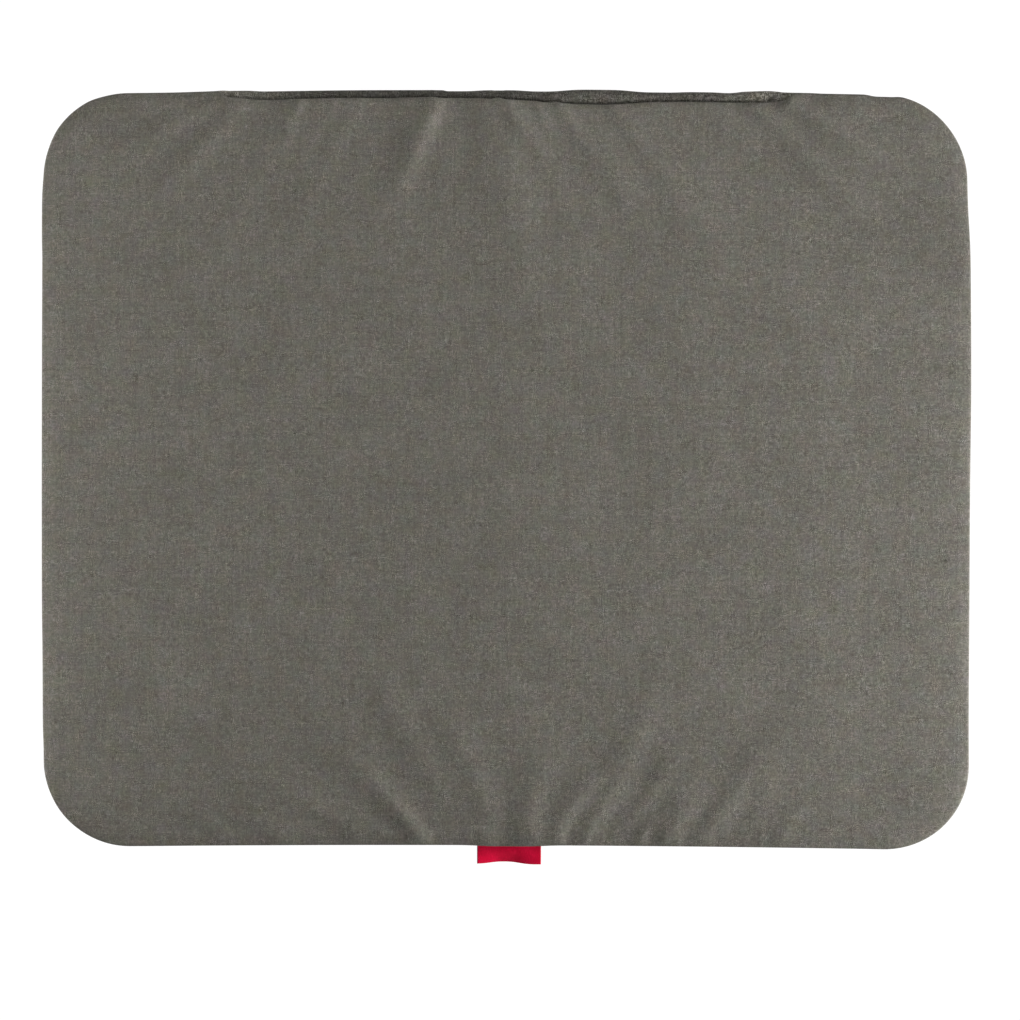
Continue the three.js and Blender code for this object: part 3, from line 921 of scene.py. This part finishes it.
# pad layers, pressed down under the closure
padLayers = {
    "inset": 6.4 * mm,
    "pressDepth": 3.45 * mm,
    "pressInset": 25.4 * mm,  # fully pressed this far in from the back edge
    "pressHalf": 155.2 * mm,
    "pressRun": 12 * mm,
    "felt": 2.0 * mm,
    "foil": 0.3 * mm,
    "feltEdge": 0.7 * mm,
    "foilEdge": 0.1 * mm,
    "spongeEdge": 1.4 * mm,
}


def pressAt(x, y):
    run = padLayers["pressRun"]
    inward = smooth((padLayers["pressInset"] + run - backEdge + y) / run)
    return padLayers["pressDepth"] * inward * smooth((padLayers["pressHalf"] + run - np.abs(x)) / run)


def feltMaterial():
    finish = Finish("whiteFelt")
    x, y = finish.place()
    curl = finish.noise(finish.join(x, y), 1 / (9 * mm), 3.0)
    fibres = finish.noise(finish.join(x / (0.25 * mm) + curl * 14, y / (2.6 * mm) + curl * 9), 1.0, 3.0)
    crossing = finish.noise(finish.join(x / (2.9 * mm) - curl * 8, y / (0.27 * mm) + curl * 12), 1.0, 3.0)
    needled = finish.cells(finish.join(x, y), 2.1 * mm)
    tone = fibres * 0.5 + crossing * 0.5 + curl * 0.25
    stops = ((0.42, tint(196, 186, 166)), (0.62, tint(219, 211, 194)), (0.8, tint(236, 230, 216)))
    colour = finish.ramp(tone, *stops)
    height = fibres * 0.4 + crossing * 0.4 + finish.span(needled, 0.05, 0.4) * 0.5
    roughness = finish.span(tone, 0.4, 0.8, 0.95, 0.8)
    return finish.surface(colour, roughness, 0.1, (height, 0.3 * mm, 0.6), sheen=0.15)


def foilMaterial():
    finish = Finish("crinkledFoil")
    x, y = finish.place()
    place = finish.join(x, y)
    height = finish.cells(place, 11 * mm) * 0.7 + finish.cells(place, 3.6 * mm) * 0.3
    worn = finish.noise(place, 1 / (26 * mm), 4.0)
    colour = finish.ramp(worn, (0.3, tint(176, 179, 182)), (0.7, tint(206, 208, 210)))
    roughness = finish.span(worn, 0.3, 0.7, 0.24, 0.42)
    return finish.surface(colour, roughness, bump=(height, 0.6 * mm, 0.7), metallic=1.0)


def spongeMaterial():
    finish = Finish("siliconeSponge")
    x, y = finish.place()
    place = finish.join(x, y)
    pores = finish.cells(place, 0.9 * mm)
    patches = finish.noise(place, 1 / (20 * mm), 4.0)
    wall = finish.span(pores, 0.15, 0.5)
    # darker in the pores, which the bump sinks: painted shade, mixed with patches of tone
    colour = finish.ramp(wall * 0.7 + patches * 0.3, (0.1, tint(92, 91, 86)), (0.75, tint(146, 145, 139)))
    return finish.surface(colour, finish.span(wall, 0, 1, 0.9, 0.65), 0.25, (wall, 0.25 * mm, 0.6))


def makePad(name, node, finish, thickness, edge, pressedBelow):
    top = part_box(node)[1].z
    bottom = top - thickness
    columns = np.linspace(-1, 1, 121)
    rows = edgeSpaced(halfDepth, 2.4 * mm, 7.0 * mm, 90 * mm)
    x, y, rim, (rimX, rimY, outX, outY) = gridAndRim(columns, rows, padLayers["inset"] + edge)
    sunk = pressAt(x, y) + crownDrop(x, y, edgeInset(x, y))
    rimSunk = sunk.ravel()[rim]
    lowerShare = 1.0 if pressedBelow else 0.0
    turns = (0.4, 0.8, 1.2, math.pi / 2)
    rings = [(math.sin(turn), top - edge + edge * math.cos(turn), 1.0) for turn in turns]
    rings += [(math.sin(turn), bottom + edge - edge * math.cos(turn), lowerShare) for turn in turns[::-1]]
    points, flats = [listed(x, y, top - sunk)], [listed(x, y)]
    for ring, (share, height, pressed) in enumerate(rings):
        out = edge * share
        points.append(listed(rimX + outX * out, rimY + outY * out, height - rimSunk * pressed))
        run = edge * (ring + 1) * 0.5
        flats.append(listed(rimX + outX * run, rimY + outY * run))
    points.append(listed(x, y, bottom - sunk * lowerShare))
    flats.append(flats[0])
    lowerStart = x.size + len(rim) * len(rings)
    faces = [gridFaces(len(columns), len(rows))]
    faces += ringFaces(rim, x.size, len(rings), lowerStart + rim)
    faces.append(gridFaces(len(columns), len(rows), lowerStart)[:, ::-1])
    points = np.concatenate(points)
    points[:, 0], points[:, 1] = swell(points[:, 0], points[:, 1])
    piece = makePiece(name, points, np.concatenate(faces), finish, np.concatenate(flats))
    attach(piece, "cover")
    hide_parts(node)
    return piece


def makePads():
    layers = padLayers
    wide, deep = 2 * (halfWidth - layers["inset"]), 2 * (halfDepth - layers["inset"])
    corner = cover["cornerRadius"] - layers["inset"]
    area = wide * deep - (4 - math.pi) * corner ** 2
    felt = makePad("wickingFelt", "wicking_liner", feltMaterial(), layers["felt"], layers["feltEdge"], True)
    foil = makePad("foilMembrane", "foil_membrane", foilMaterial(), layers["foil"], layers["foilEdge"], True)
    low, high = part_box("foam_core")
    sponge = makePad("spongeCore", "foam_core", spongeMaterial(), high.z - low.z, layers["spongeEdge"], False)
    print("pad layers made")


# closure: loop tape under the hem, hook tape on the facing
closure = {
    "inset": 7 * mm,  # of the tapes' outer edges
    "width": 16 * mm,
    "length": 290 * mm,
    "ground": 0.36 * mm,  # woven ground of a tape, without its pile or hooks
    "hookPitch": (1.9 * mm, 1.5 * mm),
    "loopPitch": (1.5 * mm, 1.3 * mm),
    "bare": 2.2 * mm,  # margin with no hooks or loops
    "edgeRun": 2 * mm,  # the ground's edges fall off by this roll over this run
    "edgeRoll": 0.08 * mm,
    "stitchPitch": 3.1 * mm,
    "stitchInset": 1.1 * mm,
    "seed": 11,
}


def tapeMaterial(name, dark, light):
    finish = Finish(name)
    x, y = finish.place()
    rib = (y / (0.42 * mm)).fraction()
    pick = (x / (0.5 * mm)).fraction()
    crown = (1 - (rib - 0.5).size() * 2) * 0.6 + (1 - (pick - 0.5).size() * 2) * 0.4
    worn = finish.noise(finish.join(x / (3 * mm), y / (0.5 * mm)), 1.0, 3.0)
    # lighter on the crowns of the ribs and picks, darker in the dips between: painted shade, mixed with worn
    # patches
    colour = finish.ramp(crown * 0.4 + worn * 0.6, (0.25, dark), (0.75, light))
    return finish.surface(colour, finish.span(worn, 0.3, 0.7, 0.8, 0.6), 0.25, (crown, 0.08 * mm, 0.6))


def strandMaterial(name, dark, light, roughness, specular):
    finish = Finish(name)
    place = finish.node("ShaderNodeTexCoord", None, None, "Object")
    tone = finish.noise(place, 1 / (1.7 * mm), 3.0)
    grain = finish.noise(place, 1 / (0.12 * mm), 2.0, 0.5)
    colour = finish.ramp(tone * 0.7 + grain * 0.3, (0.3, dark), (0.7, light))
    rough = finish.span(grain, 0.3, 0.7, roughness, roughness - 0.15)
    return finish.surface(colour, rough, specular, (grain, 0.03 * mm, 0.5))


def strand(path, radii, sides):
    # round strand along a path of (x, z), closed at both ends
    path = np.array(path)
    along = np.gradient(path, axis=0)
    along /= np.linalg.norm(along, axis=1)[:, None]
    angles = np.arange(sides) * 2 * math.pi / sides
    points = []
    for (x, z), (runX, runZ), radius in zip(path, along, radii):
        for angle in angles:
            lean = radius * math.cos(angle)
            points.append((x - runZ * lean, radius * math.sin(angle), z + runX * lean))
    faces = []
    for ring in range(len(path) - 1):
        for side in range(sides):
            first, second = ring * sides + side, ring * sides + (side + 1) % sides
            faces.append((first, first + sides, second + sides, second))
    last = (len(path) - 1) * sides
    faces.append(tuple(range(sides)))
    faces.append(tuple(last + side for side in reversed(range(sides))))
    return np.array(points), faces


def scatter(name, template, places, turns, sizes, finish):
    # copies of one strand, as one piece
    shape, faces = template
    points, allFaces = [], []
    for count, (place, turn, size) in enumerate(zip(places, turns, sizes)):
        turned = shape.copy()
        turned[:, 0] = shape[:, 0] * math.cos(turn) - shape[:, 1] * math.sin(turn)
        turned[:, 1] = shape[:, 0] * math.sin(turn) + shape[:, 1] * math.cos(turn)
        points.append(turned * size + place)
        allFaces += [tuple(corner + count * len(shape) for corner in face) for face in faces]
    return makePiece(name, np.concatenate(points), allFaces, finish)


def onTape(along, across, height):
    # tape coordinates to the frame: along its length, in from its outer edge
    x, y = swell(along, backEdge - closure["inset"] - across)
    return listed(x, y, height + 0 * x)


def tapeGround(name, level, finish, faceUp):
    half, wide, run = closure["length"] / 2, closure["width"], closure["edgeRun"]
    steps = (117, 13)
    along, across = np.linspace(-half, half, steps[0]), np.linspace(0, wide, steps[1])
    along, across = np.meshgrid(along, across, indexing="ij")
    endward = np.maximum(np.abs(along) - half + run, 0)
    sideward = np.maximum(np.abs(across - wide / 2) - wide / 2 + run, 0)
    roll = closure["edgeRoll"] * np.clip(np.hypot(endward, sideward) / run, 0, 1) ** 4
    height = level + (-roll if faceUp else roll)
    points = onTape(along.ravel(), across.ravel(), height.ravel())
    faces = gridFaces(*steps)
    faces = faces[:, ::-1] if faceUp else faces
    flat = listed(along, across)
    return thicken(makePiece(name, points, faces, finish, flat), closure["ground"])


def pileSpots(pitch, draw, stray):
    half, bare = closure["length"] / 2 - closure["bare"], closure["bare"]
    along = np.arange(-half, half, pitch[0])
    across = np.arange(bare, closure["width"] - bare + 1e-6, pitch[1])
    along, across = (grid.ravel() for grid in np.meshgrid(along, across, indexing="ij"))
    along = along + draw.uniform(-stray, stray, len(along))
    return along, across + draw.uniform(-stray, stray, len(across))


def tapeStitches(name, level, draw, finish):
    # two rows along the tape and one across each end
    half, edge, pitch = closure["length"] / 2, closure["stitchInset"], closure["stitchPitch"]
    rows = []
    for across in (edge, closure["width"] - edge):
        rows += [(along, across, 0.0) for along in np.arange(-half + edge, half - edge, pitch)]
    for along in (-half + edge, half - edge):
        ends = np.arange(edge + pitch, closure["width"] - edge, pitch)
        rows += [(along, across, math.pi / 2) for across in ends]
    along, across, turn = np.array(rows).T
    path = np.array([(-1.15, -0.12), (-0.8, 0.05), (0, 0.09), (0.8, 0.05), (1.15, -0.12)]) * mm
    template = strand(path, np.array([0.1, 0.16, 0.17, 0.16, 0.1]) * mm, 6)
    turns = turn + draw.uniform(-0.07, 0.07, len(turn))
    return scatter(name, template, onTape(along, across, level), turns, np.ones(len(turn)), finish)


def makeClosure():
    draw = np.random.default_rng(closure["seed"])
    thread = strandMaterial("sewingThread", tint(46, 45, 42), tint(82, 80, 74), 0.7, 0.3)
    # hook half, hooks up
    low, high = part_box("hook_tape")[0].z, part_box("hook_tape")[1].z
    base = low + closure["ground"]
    hookGround = tapeMaterial("hookGround", tint(30, 30, 28), tint(56, 55, 51))
    hookTape = tapeGround("hookTape", base, hookGround, True)
    tall = high - base
    hookShape = [(0, -0.05 * mm), (0.02 * mm, tall * 0.5), (0.1 * mm, tall * 0.8), (0.27 * mm, tall * 0.82),
                 (0.36 * mm, tall * 0.58)]
    hookStrand = strand(hookShape, np.array([0.13, 0.11, 0.1, 0.09, 0.06]) * mm, 4)
    along, across = pileSpots(closure["hookPitch"], draw, 0.12 * mm)
    turns = np.where(np.arange(len(along)) % 2, 0.0, math.pi) + draw.uniform(-0.25, 0.25, len(along))
    hookFinish = strandMaterial("mouldedHooks", tint(34, 34, 32), tint(58, 57, 53), 0.5, 0.45)
    sizes = draw.uniform(0.9, 1.0, len(along))
    hooks = scatter("hookRows", hookStrand, onTape(along, across, base), turns, sizes, hookFinish)
    hookStitches = tapeStitches("hookTapeStitches", base, draw, thread)
    for piece in (hookTape, hooks, hookStitches):
        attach(piece, "cover")
    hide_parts("hook_tape")
    # loop half, pile down
    low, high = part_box("loop_tape")[0].z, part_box("loop_tape")[1].z
    base = high - closure["ground"]
    loopGround = tapeMaterial("loopGround", tint(40, 39, 37), tint(70, 68, 63))
    loopTape = tapeGround("loopTape", base, loopGround, False)
    deep = base - low - 0.12 * mm
    arch = [(-0.34 * mm, 0.05 * mm), (-0.36 * mm, -deep * 0.5), (-0.2 * mm, -deep), (0.2 * mm, -deep),
            (0.36 * mm, -deep * 0.5), (0.34 * mm, 0.05 * mm)]
    loopStrand = strand(arch, [0.09 * mm] * 6, 4)
    along, across = pileSpots(closure["loopPitch"], draw, 0.4 * mm)
    turns = draw.uniform(0, math.pi, len(along))
    loopFinish = strandMaterial("brushedPile", tint(42, 41, 39), tint(84, 82, 77), 0.85, 0.2)
    sizes = draw.uniform(0.8, 1.1, len(along))
    loops = scatter("loopPile", loopStrand, onTape(along, across, base), turns, sizes, loopFinish)
    loopStitches = tapeStitches("loopTapeStitches", base, draw, thread)
    for piece in (loopTape, loops, loopStitches):
        bendLip(piece)
    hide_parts("loop_tape")
    print("closure made:", len(hooks.data.polygons), "faces of hooks,", len(loops.data.polygons), "of loops")


# ribbon tag: folded double, sewn into the front seam, its middle drooping
tag = {
    "width": 35 * mm,
    "reach": 10.6 * mm,  # out from the seam
    "root": 3 * mm,  # in behind the seam
    "ribbon": 0.16 * mm,
    "rootGap": 0.05 * mm,  # half the space between the layers, at the seam and at the fold
    "foldGap": 0.3 * mm,
    "endDroop": math.radians(12),
    "midDroop": math.radians(30),
    "valley": (-2.5 * mm, 11 * mm),  # place and half width of the droop, from the tag's middle
    "foldDraw": 0.5 * mm,
    "bend": (204.6 * mm, 207.4 * mm),  # it turns between these distances in front of the origin
}


def ribbonMaterial():
    finish = Finish("crimsonSatin")
    x, y = finish.place()
    thread = x / (0.2 * mm)
    column = thread.floor()
    crown = 1 - (thread.fraction() - 0.5).size() * 2
    shine = finish.noise(finish.join(column * 3.7, y / (2.2 * mm)))
    patches = finish.noise(finish.join(x, y), 1 / (7 * mm), 3.0)
    tone = shine * 0.5 + patches * 0.5
    colour = finish.ramp(tone, (0.28, tint(184, 3, 42)), (0.5, tint(208, 7, 54)), (0.74, tint(232, 24, 72)))
    # woven edges along both sides
    edge = finish.span((x / (tag["width"] / 2)).size(), 0.94, 0.97)
    colour = finish.mix(edge * 0.35, colour, tint(160, 3, 38))
    return finish.surface(colour, finish.span(tone, 0.3, 0.7, 0.52, 0.38), 0.12, (crown, 0.04 * mm, 0.5))


def makeTag():
    half = tag["width"] / 2
    across = np.linspace(-half, half, 57)
    place, wide = tag["valley"]
    valley = np.exp(-np.abs((across - place) / wide) ** 2.4)
    droop = tag["endDroop"] + (tag["midDroop"] - tag["endDroop"]) * valley
    reach = tag["reach"] - tag["foldDraw"] * valley
    rootX, rootY = swell(across + tagRoot[0], frontEdge + 0 * across)
    shares = np.linspace(0, 1, 26)
    # middle line of the two layers
    y, z = [rootY + tag["root"], rootY], [0 * across, 0 * across]
    angles = [0 * across, 0 * across]
    for before, share in zip(shares[:-1], shares[1:]):
        angle = droop * smooth((before + share) / 2 / 0.5) * 1.06
        y.append(y[-1] - np.cos(angle) * reach * (share - before))
        z.append(z[-1] - np.sin(angle) * reach * (share - before))
        angles.append(angle)
    rootGap, foldGap = tag["rootGap"], tag["foldGap"]
    gaps = [rootGap] * 2 + list(rootGap + (foldGap - rootGap) * smooth(shares[1:]))
    lower, upper = [], []
    for lineY, lineZ, angle, gap in zip(y, z, angles, gaps):
        lower.append((lineY + np.sin(angle) * gap, lineZ - np.cos(angle) * gap))
        upper.append((lineY - np.sin(angle) * gap, lineZ + np.cos(angle) * gap))
    fold = []
    for turn in np.linspace(0, math.pi, 9)[1:-1]:
        side, out = -math.cos(turn) * gaps[-1], math.sin(turn) * gaps[-1]
        fold.append((y[-1] - np.cos(angles[-1]) * out - np.sin(angles[-1]) * side,
                     z[-1] - np.sin(angles[-1]) * out + np.cos(angles[-1]) * side))
    path = lower + fold + upper[::-1]
    level = seamLevel + seamWobble(across + tagRoot[0], frontEdge + 0 * across)
    points, flats = [], []
    run = np.zeros_like(across)
    for step, (lineY, lineZ) in enumerate(path):
        if step:
            run = run + np.hypot(lineY - path[step - 1][0], lineZ - path[step - 1][1])
        points.append(listed(rootX, lineY, level + lineZ))
        flats.append(listed(across, run))
    piece = stripPiece("ribbonTag", points, flats, ribbonMaterial(), tag["ribbon"])
    first, last = tag["bend"]
    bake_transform(piece, "cover", "tag", (tagRoot[0], -first, tagRoot[2]), (tagRoot[0], -last, tagRoot[2]))
    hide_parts("ribbon_tag")
    lowest = min(float(row[:, 2].min()) for row in points)
    print("tag made, lowest point", round(lowest / mm, 2), "mm up")


makeCover()
makeFacing()
makePads()
makeClosure()
makeTag()
